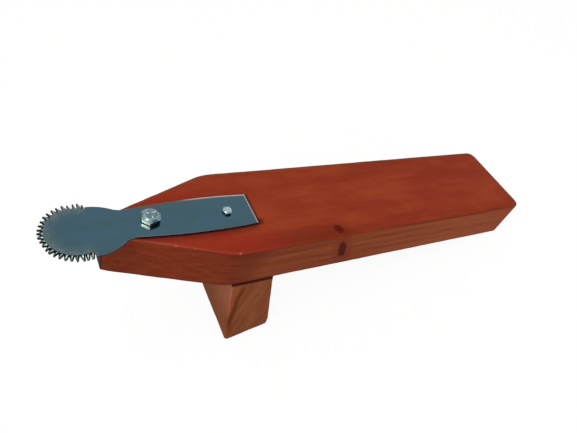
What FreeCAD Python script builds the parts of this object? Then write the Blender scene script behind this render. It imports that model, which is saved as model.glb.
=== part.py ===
"""A sit-on coconut grater: a sloping seat board on a front foot, with a toothed steel blade along its nose.

Millimetres, +Z up. The origin is on the floor, at the centre of the foot's sole. +X runs back to the seat
end and -X forward to the grating head. The board and the foot are the same on both sides of the XZ plane. The
blade and its screw were cut and set by eye: each lies a little aside of that plane, and -Y is the near side.

The board's own frame starts on its top face, on the centreline, at the shoulder where the nose begins to
taper. Every piece is placed in that frame: "along" counts from the shoulder towards the seat end, "above"
from the top face.
"""
import FreeCAD, Part
import math
import os

import Sketcher

SIZES = [
    # the board: nose tip to seat end, shoulder to nose tip, and the flat left on the nose
    ("board_length", 492.5), ("board_width", 100), ("board_thickness", 48),
    ("nose_length", 102.3), ("nose_tip_width", 18.3), ("board_tilt", 17.5), ("nose_round", 2.5),
    ("board_edge_round", 1.1), ("seat_corner_round", 10), ("shoulder_round", 55), ("heel_round", 4),
    # the foot: a block behind the shoulder, raked to the front and cut level on the floor
    ("foot_setback", 7.5), ("sole_length", 52), ("foot_front_rake", 8.4), ("foot_rear_rake", 4),
    ("foot_edge_round", 1.5), ("sole_edge_round", 2), ("joint_arris", 0.8),
    # the blind dowels that hold the foot on
    ("dowel_diameter", 12), ("dowel_length", 60), ("dowel_spacing", 50), ("dowel_setback", 22),
    ("dowel_in_board", 25), ("dowel_fit", 0.1), ("dowel_end_gap", 1), ("dowel_arris", 1),
    # the blade: a bowed strip, a waist, and a round head past the nose, between the corners of a collar
    ("blade_thickness", 2), ("head_overhang", 17.7), ("blade_tail", 33.7), ("tail_width", 36.8),
    ("side_bow_radius", 560), ("waist_setback", 41.5), ("waist_width", 31.7), ("waist_radius", 18),
    ("root_radius", 24.3), ("collar_angle", 68.6), ("collar_step", 3.6),
    ("bevel_width", 3.2), ("bevel_depth", 0.6),
    # how far aside the head lies from the board's centreline, then the strip and the collar from the head's,
    # and how far back of the waist's far side its near side lies
    ("head_aside", -2.5), ("strip_aside", 0.8), ("collar_aside", -1.8), ("waist_skew", 6),
    # its teeth: narrow tabs between saw cuts, bent down and each given a twist
    ("tooth_count", 26), ("tooth_reach", 5.4), ("tooth_drop", 2.2), ("tooth_twist", 45), ("tooth_bury", 0.8),
    ("tooth_root_width", 2.6), ("tooth_tip_width", 1.5), ("tooth_root_thick", 1.4), ("tooth_tip_thick", 0.8),
    # the clamp bolt through the blade's waist and the nose, with its washer and nut underneath
    ("clamp_setback", 41.1), ("clamp_diameter", 10), ("clamp_projection", 6), ("clamp_flats", 16),
    ("clamp_head", 6.4), ("clamp_face", 0.4), ("clamp_turn", 16), ("clamp_tip", 1), ("clamp_gap", 0.5),
    ("nut_height", 8), ("nut_turn", 20), ("nut_fit", 0.05),
    ("washer_diameter", 20), ("washer_thickness", 2), ("washer_arris", 0.4),
    # the coach screw through the blade's tail into the board
    ("screw_setback", 8.3), ("screw_aside", -2.6), ("screw_diameter", 5), ("screw_length", 38),
    ("screw_flats", 8.5), ("screw_head", 3.5), ("screw_face", 0.3), ("screw_turn", 58), ("screw_tip", 6),
    ("screw_point", 0.5), ("screw_gap", 0.5), ("screw_fit", 0.05),
]

# Sizes that follow from the sheet, as expressions.
TILT = "sizes.board_tilt"
SEAT_LENGTH = "(sizes.board_length - sizes.nose_length)"
SHOULDER_HEIGHT = (f"(sizes.heel_round + ({SEAT_LENGTH} - sizes.heel_round) * sin({TILT})"
                   f" + (sizes.board_thickness - sizes.heel_round) * cos({TILT}))")
FOOT_HEIGHT = (f"({SHOULDER_HEIGHT} - sizes.foot_setback * sin({TILT})"
               f" - sizes.board_thickness * cos({TILT}))")
SHOULDER_BACK = (f"(-sizes.sole_length / 2 + {FOOT_HEIGHT} * tan(sizes.foot_front_rake)"
                 f" - sizes.foot_setback * cos({TILT}) + sizes.board_thickness * sin({TILT}))")
HEAD_REACH = "(sizes.nose_length + sizes.head_overhang)"
TAIL_AT = f"({HEAD_REACH} + sizes.blade_tail)"
COLLAR_OUT = "(sizes.root_radius + sizes.collar_step)"
COLLAR_ALONG = f"({COLLAR_OUT} * cos(sizes.collar_angle))"
COLLAR_ACROSS = f"({COLLAR_OUT} * sin(sizes.collar_angle))"
TOOTH_SPAN = "(360 - 2 * sizes.collar_angle)"
TOOTH_PITCH = f"({TOOTH_SPAN} / sizes.tooth_count)"
FIRST_TOOTH = f"(180 - {TOOTH_PITCH} * (sizes.tooth_count - 1) / 2)"
CLAMP_REACH = "(sizes.nose_length - sizes.clamp_setback)"
CLAMP_LENGTH = ("(sizes.blade_thickness + sizes.board_thickness + sizes.washer_thickness + sizes.nut_height"
                " + sizes.clamp_projection)")
CLAMP_HOLE = "(sizes.clamp_diameter / 2 + sizes.clamp_gap)"
SCREW_HOLE = "(sizes.screw_diameter / 2 + sizes.screw_gap)"
PILOT_HOLE = "(sizes.screw_diameter / 2 + sizes.screw_fit)"
DOWEL_HOLE = "(sizes.dowel_diameter / 2 + sizes.dowel_fit)"
DOWEL_AT = "(sizes.foot_setback + sizes.dowel_setback)"

# A hexagon's corners are turned off at 30 degrees, from a circle of this share of its size across the flats.
# The cutter reaches out past the corners, which lie at 0.577 of that size.
CROWN_SHARE = 0.95
CROWN_REACH = 0.6
CROWN_ANGLE = 30

# A sketch's own origin and axes, and the points of a line or an arc, by the sketcher's numbers.
ORIGIN = (-1, 1)
X_AXIS, Y_AXIS = -1, -2
START, END, CENTRE = 1, 2, 3

UP = FreeCAD.Vector(0, 0, 1)
ACROSS = FreeCAD.Vector(0, 1, 0)
DOWEL_SIDES = ((-1, "Near"), (1, "Far"))
CLOSE = 0.01  # mm: two heights nearer than this are one

doc = FreeCAD.newDocument("CoconutGrater")
sheet = doc.addObject("Spreadsheet::Sheet", "sizes")
for row, (alias, number) in enumerate(SIZES, start=1):
    sheet.set(f"A{row}", alias)
    sheet.set(f"B{row}", str(number))
    sheet.setAlias(f"B{row}", alias)
doc.recompute()

pieces = []


# ---- helpers ----

def value(expression):
    """The number that an expression on the sheet stands for."""
    result = sheet.evalExpression(expression)
    return float(getattr(result, "Value", result))


def new_piece(label, along="0", across="0", above="0"):
    """A body for one sub-part, laid on the tilted board at a place in the board's frame."""
    body = doc.addObject("PartDesign::Body", label)
    body.Label = label
    body.Placement = FreeCAD.Placement(FreeCAD.Vector(), FreeCAD.Rotation(ACROSS, value(TILT)))
    body.setExpression("Placement.Base.x",
                       f"{SHOULDER_BACK} + ({along}) * cos({TILT}) + ({above}) * sin({TILT})")
    body.setExpression("Placement.Base.y", across)
    body.setExpression("Placement.Base.z",
                       f"{SHOULDER_HEIGHT} - ({along}) * sin({TILT}) + ({above}) * cos({TILT})")
    body.setExpression("Placement.Rotation.Angle", f"{TILT} * 1 deg")
    pieces.append(body)
    return body


def new_sketch(body, role, name):
    """A sketch on one of the body's own origin planes."""
    plane = next(feature for feature in body.Origin.OriginFeatures if feature.Role == role)
    sketch = body.newObject("Sketcher::SketchObject", name)
    sketch.AttachmentSupport = [(plane, "")]
    sketch.MapMode = "FlatFace"
    return sketch


def dimension(sketch, kind, *where, to):
    """A dimension of a sketch, bound to an expression on the sheet."""
    size = value(to)
    unit = ""
    if kind == "Angle":
        size = FreeCAD.Units.Quantity(f"{size} deg")
        unit = " * 1 deg"
    index = sketch.addConstraint(Sketcher.Constraint(kind, *where, size))
    sketch.setExpression(f"Constraints[{index}]", f"({to}){unit}")


def tie(sketch, kind, *where):
    """A constraint of a sketch that has no size."""
    sketch.addConstraint(Sketcher.Constraint(kind, *where))


def polygon(sketch, points):
    """A closed outline of straight lines, numbered from 0, each starting at its own point."""
    corners = [FreeCAD.Vector(x, y, 0) for x, y in points]
    count = len(corners)
    for number in range(count):
        sketch.addGeometry(Part.LineSegment(corners[number], corners[(number + 1) % count]), False)
    for number in range(count):
        tie(sketch, "Coincident", number, END, (number + 1) % count, START)


def mirror_pairs(sketch, *pairs):
    """Keeps corners of an outline opposite each other across the X axis."""
    for left, right in pairs:
        tie(sketch, "Symmetric", left, START, right, START, X_AXIS)


def circle(sketch, radius, along=None, across=None):
    """A circle on the sketch's X axis, or off it by a named distance."""
    centre = FreeCAD.Vector(value(along or "0"), value(across or "0"), 0)
    number = sketch.addGeometry(Part.Circle(centre, UP, value(radius)), False)
    dimension(sketch, "Radius", number, to=radius)
    if along is None:
        tie(sketch, "Coincident", number, CENTRE, *ORIGIN)
        return
    dimension(sketch, "DistanceX", *ORIGIN, number, CENTRE, to=along)
    if across is None:
        tie(sketch, "PointOnObject", number, CENTRE, X_AXIS)
    else:
        dimension(sketch, "DistanceY", *ORIGIN, number, CENTRE, to=across)


def pad(body, sketch, length, down=False, both_ways=False):
    """Gives a sketch its thickness: along its normal, against it, or half each way."""
    feature = body.newObject("PartDesign::Pad", sketch.Name + "Pad")
    feature.Profile = sketch
    feature.setExpression("Length", length)
    feature.Reversed = down
    feature.Midplane = both_ways
    body.Tip = feature
    doc.recompute()
    return feature


def pocket(body, sketch, depth=None, up=False, both_ways=False):
    """Cuts a sketch out of the body, right through it when no depth is given, and makes sure that it cut."""
    before = body.Shape.Volume
    feature = body.newObject("PartDesign::Pocket", sketch.Name + "Pocket")
    feature.Profile = sketch
    feature.Midplane = both_ways
    feature.Reversed = up
    if depth is None:
        feature.Type = "ThroughAll"
    else:
        feature.setExpression("Length", depth)
    body.Tip = feature
    doc.recompute()
    if not body.Shape.Volume < before:
        raise RuntimeError(f"{sketch.Name} cuts nothing from {body.Label}")
    return feature


def revolve(body, sketch, kind="PartDesign::Revolution", angle="360"):
    """Turns a sketch on an upright plane round the body's Z axis, to add to the body or to cut a groove."""
    before = body.Shape.Volume if kind == "PartDesign::Groove" else 0
    feature = body.newObject(kind, sketch.Name + "Turned")
    feature.Profile = sketch
    feature.ReferenceAxis = (sketch, ["V_Axis"])
    feature.Midplane = angle != "360"
    feature.setExpression("Angle", f"{angle} * 1 deg")
    body.Tip = feature
    doc.recompute()
    if kind == "PartDesign::Groove" and not body.Shape.Volume < before:
        raise RuntimeError(f"{sketch.Name} cuts nothing from {body.Label}")
    return feature


def dress(body, kind, edge_test, size, size_name="Radius"):
    """Rounds or chamfers the edges of the body's tip that pass a test."""
    base = body.Tip
    names = [f"Edge{n}" for n, edge in enumerate(base.Shape.Edges, start=1) if edge_test(edge)]
    if not names:
        raise RuntimeError(f"{body.Label} has no edge for its {kind}")
    feature = body.newObject(f"PartDesign::{kind}", f"{body.Name}{kind}")
    feature.Base = (base, names)
    feature.setExpression(size_name, size)
    body.Tip = feature
    doc.recompute()
    return feature


def is_upright(edge):
    """Whether an edge of the body stands straight up."""
    box = edge.BoundBox
    return box.ZLength > CLOSE and box.XLength < CLOSE and box.YLength < CLOSE


def is_level(edge, height=None):
    """Whether an edge lies flat in its body, at a height where one is given."""
    box = edge.BoundBox
    return box.ZLength < CLOSE and (height is None or abs(box.ZMin - height) < CLOSE)


# ---- the seat board ----

def cut_heel(body):
    """Rounds the seat end's lower edge, straight across the board, where it rests on the floor."""
    heel = new_sketch(body, "XZ_Plane", "Heel")
    bend = value("sizes.heel_round")
    corner = FreeCAD.Vector(value(SEAT_LENGTH), -value("sizes.board_thickness"), 0)
    rear, under = corner + ACROSS * bend, corner - FreeCAD.Vector(bend, 0, 0)
    round_edge = Part.Circle(rear + under - corner, UP, bend)
    quarter = heel.addGeometry(Part.ArcOfCircle(round_edge, -math.pi / 2, 0), False)
    back = heel.addGeometry(Part.LineSegment(rear, corner), False)
    floor = heel.addGeometry(Part.LineSegment(corner, under), False)
    tie(heel, "Coincident", quarter, END, back, START)
    tie(heel, "Coincident", back, END, floor, START)
    tie(heel, "Coincident", floor, END, quarter, START)
    tie(heel, "Vertical", back)
    tie(heel, "Horizontal", floor)
    dimension(heel, "Distance", back, to="sizes.heel_round")
    dimension(heel, "Distance", floor, to="sizes.heel_round")
    dimension(heel, "Radius", quarter, to="sizes.heel_round")
    dimension(heel, "DistanceX", *ORIGIN, back, END, to=SEAT_LENGTH)
    dimension(heel, "DistanceY", back, END, *ORIGIN, to="sizes.board_thickness")
    pocket(body, heel, both_ways=True)


def make_seat_board():
    """A plank with a tapered, blunt nose, soft shoulders, soft seat corners and a rounded heel."""
    body = new_piece("seat_board")
    plan = new_sketch(body, "XY_Plane", "BoardPlan")
    nose, end = value("sizes.nose_length"), value(SEAT_LENGTH)
    side, tip = value("sizes.board_width / 2"), value("sizes.nose_tip_width / 2")
    polygon(plan, [(-nose, -tip), (0, -side), (end, -side), (end, side), (0, side), (-nose, tip)])
    mirror_pairs(plan, (0, 5), (1, 4), (2, 3))
    tie(plan, "Horizontal", 1)
    tie(plan, "PointOnObject", 1, START, Y_AXIS)
    dimension(plan, "DistanceX", 0, START, *ORIGIN, to="sizes.nose_length")
    dimension(plan, "DistanceX", *ORIGIN, 2, START, to=SEAT_LENGTH)
    dimension(plan, "DistanceY", 1, START, *ORIGIN, to="sizes.board_width / 2")
    dimension(plan, "DistanceY", 0, START, *ORIGIN, to="sizes.nose_tip_width / 2")
    pad(body, plan, "sizes.board_thickness", down=True)

    thick = value("sizes.board_thickness")
    rounds = ((-nose, "sizes.nose_round"), (0, "sizes.shoulder_round"), (end, "sizes.seat_corner_round"))
    for corner_at, size in rounds:
        dress(body, "Fillet",
              lambda edge: is_upright(edge) and abs(edge.BoundBox.XMin - corner_at) < CLOSE, size)
    dress(body, "Fillet", lambda edge: is_level(edge, 0) or is_level(edge, -thick), "sizes.board_edge_round")
    cut_heel(body)

    holes = new_sketch(body, "XY_Plane", "ClampHole")
    circle(holes, CLAMP_HOLE, along=f"-{CLAMP_REACH}")
    pocket(body, holes)
    holes = new_sketch(body, "XY_Plane", "ScrewHole")
    circle(holes, PILOT_HOLE, along="sizes.screw_setback", across="sizes.screw_aside")
    pocket(body, holes, "sizes.screw_length - sizes.blade_thickness + sizes.screw_fit")
    for sign, side_name in DOWEL_SIDES:
        holes = new_sketch(body, "XY_Plane", f"BoardDowelHole{side_name}")
        holes.setExpression("AttachmentOffset.Base.z", "-sizes.board_thickness")
        circle(holes, DOWEL_HOLE, along=DOWEL_AT, across=f"{sign} * sizes.dowel_spacing / 2")
        pocket(body, holes, "sizes.dowel_in_board + sizes.dowel_end_gap", up=True)


# ---- the foot and its dowels ----

def make_front_foot():
    """A block under the shoulder. Its top lies on the board, and its sole is cut level with the floor."""
    body = new_piece("front_foot", along="sizes.foot_setback", above="-sizes.board_thickness")
    profile = new_sketch(body, "XZ_Plane", "FootProfile")
    front, rear = f"({TILT} - sizes.foot_front_rake)", f"({TILT} - sizes.foot_rear_rake)"
    front_length = f"({FOOT_HEIGHT} / cos(sizes.foot_front_rake))"
    toe_x, toe_y = value(f"{front_length} * sin({front})"), -value(f"{front_length} * cos({front})")
    heel_x = toe_x + value(f"sizes.sole_length * cos({TILT})")
    heel_y = toe_y + value(f"sizes.sole_length * sin({TILT})")
    polygon(profile, [(0, 0), (toe_x, toe_y), (heel_x, heel_y), (heel_x + heel_y * value(f"tan({rear})"), 0)])
    tie(profile, "Coincident", 0, START, *ORIGIN)
    tie(profile, "PointOnObject", 2, END, X_AXIS)
    dimension(profile, "Distance", 0, to=front_length)
    dimension(profile, "Distance", 1, to="sizes.sole_length")
    dimension(profile, "Angle", Y_AXIS, START, 0, START, to=f"180 + {front}")
    dimension(profile, "Angle", X_AXIS, START, 1, START, to=TILT)
    dimension(profile, "Angle", X_AXIS, START, 2, START, to=f"90 + {rear}")
    pad(body, profile, "sizes.board_width", both_ways=True)

    half_way = toe_y / 2
    dress(body, "Fillet", lambda edge: edge.BoundBox.ZLength > -half_way, "sizes.foot_edge_round")
    dress(body, "Fillet", lambda edge: edge.BoundBox.ZMax < half_way, "sizes.sole_edge_round")
    dress(body, "Chamfer", lambda edge: is_level(edge, 0), "sizes.joint_arris", "Size")

    for sign, side_name in DOWEL_SIDES:
        holes = new_sketch(body, "XY_Plane", f"FootDowelHole{side_name}")
        circle(holes, DOWEL_HOLE, along="sizes.dowel_setback", across=f"{sign} * sizes.dowel_spacing / 2")
        pocket(body, holes, "sizes.dowel_length - sizes.dowel_in_board + sizes.dowel_end_gap")


def make_dowel(sign, side_name):
    """A blind hardwood pin, half in the board and half in the foot."""
    body = new_piece(f"foot_dowel_{side_name.lower()}", along=DOWEL_AT,
                     across=f"{sign} * sizes.dowel_spacing / 2",
                     above="sizes.dowel_in_board - sizes.board_thickness")
    section = new_sketch(body, "XY_Plane", f"Dowel{side_name}")
    circle(section, "sizes.dowel_diameter / 2")
    pad(body, section, "sizes.dowel_length", down=True)
    dress(body, "Chamfer", is_level, "sizes.dowel_arris", "Size")


# ---- the grater blade ----

def add_arc(sketch, first, middle, last):
    """An arc through three places: its number, and which ends of it are the first place and the last."""
    number = sketch.addGeometry(Part.Arc(first, middle, last), False)
    start, end = sketch.getPoint(number, START), sketch.getPoint(number, END)
    if start.distanceToPoint(first) < end.distanceToPoint(first):
        return number, START, END
    return number, END, START


def blade_side(plan, sign):
    """One long side: a bow from the tail corner, a dip at the waist, a rise to the collar, a cut to the root.

    The places set out first are only roughly right. The ties and dimensions settle them.
    """
    def place(along, out, aside="0"):
        return FreeCAD.Vector(along, sign * out + value(aside), 0)

    waist_setback = f"(sizes.waist_setback - {sign} * sizes.waist_skew / 2)"
    waist_at, waist_half = value(waist_setback), value("sizes.waist_width / 2")
    corner = place(value(TAIL_AT), value("sizes.tail_width / 2"), "sizes.strip_aside")
    collar = place(value(COLLAR_ALONG), value(COLLAR_ACROSS), "sizes.collar_aside")
    step = (waist_at - collar.x) / 2
    swell = place(0, value("(sizes.tail_width - sizes.waist_width) / 2"))
    waist = place(waist_at, waist_half, "sizes.strip_aside")
    hip = waist + place(step / 8, 0)
    belly = waist - place(step / 2, 0) + swell / 4
    flank = waist - place(step, 0) + swell
    bow, bow_tail, bow_hip = add_arc(plan, corner, (corner + hip) / 2 + swell, hip)
    dip, dip_hip, dip_flank = add_arc(plan, hip, belly, flank)
    rise, rise_flank, rise_top = add_arc(plan, flank, (flank + collar) / 2 + swell / 2, collar)
    root = collar * (value("sizes.root_radius") / collar.Length)
    cut = plan.addGeometry(Part.LineSegment(collar, root), False)

    tie(plan, "Tangent", bow, bow_hip, dip, dip_hip)
    tie(plan, "Tangent", dip, dip_flank, rise, rise_flank)
    tie(plan, "Coincident", rise, rise_top, cut, START)
    tie(plan, "PointOnObject", *ORIGIN, cut)
    tie(plan, "Vertical", rise, rise_top, rise, CENTRE)
    dimension(plan, "Radius", bow, to="sizes.side_bow_radius")
    dimension(plan, "Radius", dip, to="sizes.waist_radius")
    dimension(plan, "DistanceX", *ORIGIN, dip, CENTRE, to=waist_setback)
    dimension(plan, "DistanceY", *ORIGIN, dip, CENTRE,
              to=f"{sign} * (sizes.waist_width / 2 + sizes.waist_radius) + sizes.strip_aside")
    dimension(plan, "DistanceX", *ORIGIN, cut, START, to=COLLAR_ALONG)
    dimension(plan, "DistanceY", *ORIGIN, cut, START, to=f"{sign} * {COLLAR_ACROSS} + sizes.collar_aside")
    dimension(plan, "DistanceY", *ORIGIN, bow, bow_tail, to=f"{sign} * sizes.tail_width / 2 + sizes.strip_aside")
    return (bow, bow_tail), (cut, END)


def make_grater_blade():
    """One steel plate: its frame starts at the centre of the round head, on the underside."""
    body = new_piece("grater_blade", along=f"-{HEAD_REACH}", across="sizes.head_aside")
    plan = new_sketch(body, "XY_Plane", "BladePlan")
    far_tail, far_root = blade_side(plan, 1)
    near_tail, near_root = blade_side(plan, -1)
    tail = plan.addGeometry(Part.LineSegment(plan.getPoint(*near_tail), plan.getPoint(*far_tail)), False)
    front = FreeCAD.Vector(-value("sizes.root_radius"), 0, 0)
    rim, rim_far, rim_near = add_arc(plan, plan.getPoint(*far_root), front, plan.getPoint(*near_root))
    tie(plan, "Coincident", tail, START, *near_tail)
    tie(plan, "Coincident", tail, END, *far_tail)
    tie(plan, "Coincident", rim, rim_far, *far_root)
    tie(plan, "Coincident", rim, rim_near, *near_root)
    tie(plan, "Coincident", rim, CENTRE, *ORIGIN)
    tie(plan, "Vertical", tail)
    dimension(plan, "DistanceX", *ORIGIN, tail, START, to=TAIL_AT)
    dimension(plan, "Radius", rim, to="sizes.root_radius")
    pad(body, plan, "sizes.blade_thickness")

    bevel = new_sketch(body, "XZ_Plane", "RimBevel")
    top, root = value("sizes.blade_thickness"), value("sizes.root_radius")
    inner, low = value("sizes.bevel_width") - root, top - value("sizes.bevel_depth")
    polygon(bevel, [(inner, top), (-root, top), (-root, low)])
    tie(bevel, "Horizontal", 0)
    tie(bevel, "Vertical", 1)
    dimension(bevel, "DistanceX", 1, START, *ORIGIN, to="sizes.root_radius")
    dimension(bevel, "DistanceY", *ORIGIN, 1, START, to="sizes.blade_thickness")
    dimension(bevel, "Distance", 0, to="sizes.bevel_width")
    dimension(bevel, "Distance", 1, to="sizes.bevel_depth")
    revolve(body, bevel, "PartDesign::Groove", TOOTH_SPAN)

    holes = new_sketch(body, "XY_Plane", "BladeHoles")
    circle(holes, CLAMP_HOLE, along=f"{HEAD_REACH} - {CLAMP_REACH}", across="-sizes.head_aside")
    circle(holes, SCREW_HOLE, along=f"{HEAD_REACH} + sizes.screw_setback",
           across="sizes.screw_aside - sizes.head_aside")
    pocket(body, holes, up=True)
    add_teeth(body)


def tooth_section(body, name, reach, width, thick, height, turn):
    """A tab's section: a rectangle across the first tooth's radius, at a height, turned about that radius."""
    section = new_sketch(body, "YZ_Plane", name)
    facing = FreeCAD.Rotation(ACROSS, value(FIRST_TOOTH))
    section.AttachmentOffset = FreeCAD.Placement(FreeCAD.Vector(), facing)
    section.setExpression("AttachmentOffset.Base.x", f"{reach} * sin({FIRST_TOOTH})")
    section.setExpression("AttachmentOffset.Base.z", f"{reach} * cos({FIRST_TOOTH})")
    section.setExpression("AttachmentOffset.Rotation.Angle", f"{FIRST_TOOTH} * 1 deg")
    middle = FreeCAD.Vector(0, value(height), 0)
    swing = FreeCAD.Rotation(UP, value(turn))
    corners = []
    for right, up in ((-1, -1), (1, -1), (1, 1), (-1, 1)):
        half = FreeCAD.Vector(right * value(width) / 2, up * value(thick) / 2, 0)
        corners.append(middle + swing.multVec(half))
    polygon(section, [(corner.x, corner.y) for corner in corners])
    for side in range(3):
        tie(section, "Perpendicular", side, side + 1)
    centre = section.addGeometry(Part.Point(middle), True)
    tie(section, "PointOnObject", centre, START, Y_AXIS)
    tie(section, "Symmetric", 0, START, 2, START, centre, START)
    dimension(section, "DistanceY", *ORIGIN, centre, START, to=height)
    dimension(section, "Distance", 0, to=width)
    dimension(section, "Distance", 1, to=thick)
    dimension(section, "Angle", X_AXIS, START, 0, START, to=turn)
    return section


def add_teeth(body):
    """The first twisted tab beside the collar, and its copies round the head."""
    root_height = "sizes.tooth_root_thick / 2"
    root = tooth_section(body, "ToothRoot", "(sizes.root_radius - sizes.tooth_bury)",
                         "sizes.tooth_root_width", "sizes.tooth_root_thick", root_height, "0")
    tip = tooth_section(body, "ToothTip", "(sizes.root_radius + sizes.tooth_reach)", "sizes.tooth_tip_width",
                        "sizes.tooth_tip_thick", f"{root_height} - sizes.tooth_drop", "sizes.tooth_twist")
    tooth = body.newObject("PartDesign::AdditiveLoft", "Tooth")
    tooth.Profile = root
    tooth.Sections = [tip]
    tooth.Ruled = True
    body.Tip = tooth
    doc.recompute()
    teeth = body.newObject("PartDesign::PolarPattern", "Teeth")
    teeth.Originals = [tooth]
    teeth.Axis = (doc.getObject("BladePlan"), ["N_Axis"])
    teeth.setExpression("Angle", f"{TOOTH_PITCH} * (sizes.tooth_count - 1) * 1 deg")
    teeth.setExpression("Occurrences", "sizes.tooth_count")
    body.Tip = teeth
    doc.recompute()


# ---- the fasteners ----

def hexagon(sketch, flats, turn):
    """A hexagon round the origin, by its size across the flats and the turn of its first corner."""
    radius = value(flats) / 3 ** 0.5
    first = FreeCAD.Vector(radius, 0, 0)
    corners = [FreeCAD.Rotation(UP, value(turn) + 60 * number).multVec(first) for number in range(6)]
    polygon(sketch, [(corner.x, corner.y) for corner in corners])
    ring = sketch.addGeometry(Part.Circle(FreeCAD.Vector(), UP, radius), True)
    tie(sketch, "Coincident", ring, CENTRE, *ORIGIN)
    for number in range(6):
        tie(sketch, "PointOnObject", number, START, ring)
    for number in range(5):
        tie(sketch, "Equal", number, number + 1)
    dimension(sketch, "Radius", ring, to=f"{flats} / sqrt(3)")
    first_side = f"{turn} + 120"
    dimension(sketch, "Angle", X_AXIS, START, 0, START, to=first_side)


def crown(body, name, flats, height, rising=True):
    """Turns the corners off one end of a hexagon."""
    way = 1 if rising else -1
    ring, reach = f"({flats} * {CROWN_SHARE} / 2)", f"({flats} * {CROWN_REACH})"
    low = f"{height} - {way} * ({reach} - {ring}) * tan({CROWN_ANGLE})"
    profile = new_sketch(body, "XZ_Plane", name)
    top, inner, outer = value(height), value(ring), value(reach)
    polygon(profile, [(inner, top), (outer, top), (outer, value(low))])
    tie(profile, "Horizontal", 0)
    tie(profile, "Vertical", 1)
    dimension(profile, "DistanceX", *ORIGIN, 0, START, to=ring)
    dimension(profile, "DistanceX", *ORIGIN, 0, END, to=reach)
    dimension(profile, "DistanceY", *ORIGIN, 0, START, to=height)
    dimension(profile, "DistanceY", *ORIGIN, 1, END, to=low)
    revolve(body, profile, "PartDesign::Groove")


def make_headed(label, name, sheet_name, along, length, end_radius, across="0"):
    """A hexagon-headed bolt or screw that stands on the blade, from the sizes whose names start alike."""
    def size(word):
        return f"sizes.{sheet_name}_{word}"

    body = new_piece(label, along=along, across=across, above="sizes.blade_thickness")
    radius, tip = f"({size('diameter')} / 2)", size("tip")
    shank = new_sketch(body, "XZ_Plane", f"{name}Shank")
    stem, deep, point, slim = value(radius), value(length), value(tip), value(end_radius)
    polygon(shank, [(0, 0), (stem, 0), (stem, point - deep), (slim, -deep), (0, -deep)])
    tie(shank, "Coincident", 0, START, *ORIGIN)
    tie(shank, "Horizontal", 0)
    tie(shank, "Vertical", 1)
    tie(shank, "Horizontal", 3)
    tie(shank, "Vertical", 4)
    dimension(shank, "Distance", 0, to=radius)
    dimension(shank, "Distance", 4, to=length)
    dimension(shank, "Distance", 1, to=f"{length} - {tip}")
    dimension(shank, "Distance", 3, to=end_radius)
    revolve(body, shank)

    face = new_sketch(body, "XY_Plane", f"{name}Face")
    circle(face, f"{size('flats')} * {CROWN_SHARE} / 2")
    pad(body, face, size("face"))
    head = new_sketch(body, "XY_Plane", f"{name}Head")
    head.setExpression("AttachmentOffset.Base.z", size("face"))
    hexagon(head, size("flats"), size("turn"))
    pad(body, head, f"{size('head')} - {size('face')}")
    crown(body, f"{name}Crown", size("flats"), size("head"))


def make_clamp_washer():
    """A flat washer against the underside of the nose."""
    body = new_piece("clamp_washer", along=f"-{CLAMP_REACH}", above="-sizes.board_thickness")
    ring = new_sketch(body, "XY_Plane", "WasherRing")
    circle(ring, "sizes.washer_diameter / 2")
    circle(ring, CLAMP_HOLE)
    pad(body, ring, "sizes.washer_thickness", down=True)
    rim = value("sizes.washer_diameter / 2")
    dress(body, "Chamfer", lambda edge: is_level(edge) and edge.BoundBox.XMax > rim - CLOSE,
          "sizes.washer_arris", "Size")


def make_clamp_nut():
    """A hexagon nut under the washer, turned off at both faces."""
    body = new_piece("clamp_nut", along=f"-{CLAMP_REACH}",
                     above="-sizes.board_thickness - sizes.washer_thickness")
    block = new_sketch(body, "XY_Plane", "NutBlock")
    hexagon(block, "sizes.clamp_flats", "sizes.nut_turn")
    pad(body, block, "sizes.nut_height", down=True)
    crown(body, "NutCrownUpper", "sizes.clamp_flats", "0")
    crown(body, "NutCrownLower", "sizes.clamp_flats", "(-sizes.nut_height)", rising=False)
    bore = new_sketch(body, "XY_Plane", "NutBore")
    circle(bore, "sizes.clamp_diameter / 2 + sizes.nut_fit")
    pocket(body, bore)


# ---- all the pieces, checked and written ----

def write_pieces():
    """Stops on anything that failed, then writes each piece under its own name."""
    doc.recompute()
    for item in doc.Objects:
        if "Invalid" in item.State or "Error" in item.State:
            raise RuntimeError(f"{item.Name} failed: {item.State}")
    for body in pieces:
        if body.Shape.isNull() or not body.Shape.isValid() or not body.Shape.Solids:
            raise RuntimeError(f"{body.Label} has no sound solid")
    os.makedirs("parts", exist_ok=True)
    for body in pieces:
        body.Shape.exportStep(f"parts/{body.Label}.step")
        print(f"{body.Label:18} {body.Shape.Volume / 1000:9.2f} cm3, {len(body.Shape.Solids)} solid")


make_seat_board()
make_front_foot()
for sign, side_name in DOWEL_SIDES:
    make_dowel(sign, side_name)
make_grater_blade()
make_headed("clamp_bolt", "Clamp", "clamp", along=f"-{CLAMP_REACH}", length=CLAMP_LENGTH,
            end_radius="(sizes.clamp_diameter / 2 - sizes.clamp_tip)")
make_clamp_washer()
make_clamp_nut()
make_headed("coach_screw", "Screw", "screw", along="sizes.screw_setback", length="sizes.screw_length",
            end_radius="sizes.screw_point", across="sizes.screw_aside")
write_pieces()
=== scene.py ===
"""A sit-on coconut grater: a red-stained seat board on a front foot, with a toothed steel blade along its nose.

Pieces are drawn in millimetres in a frame of their own, then put in place in metres. The board's frame starts
on its top face, at the shoulder where the nose begins to taper: X runs back along the board and Z stands square
to its face. The blade's frame is the same one, moved forward to the centre of the round head.
"""
import math

import bmesh
import bpy
import numpy as np
from mathutils import Matrix, Vector, geometry, noise


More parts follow.
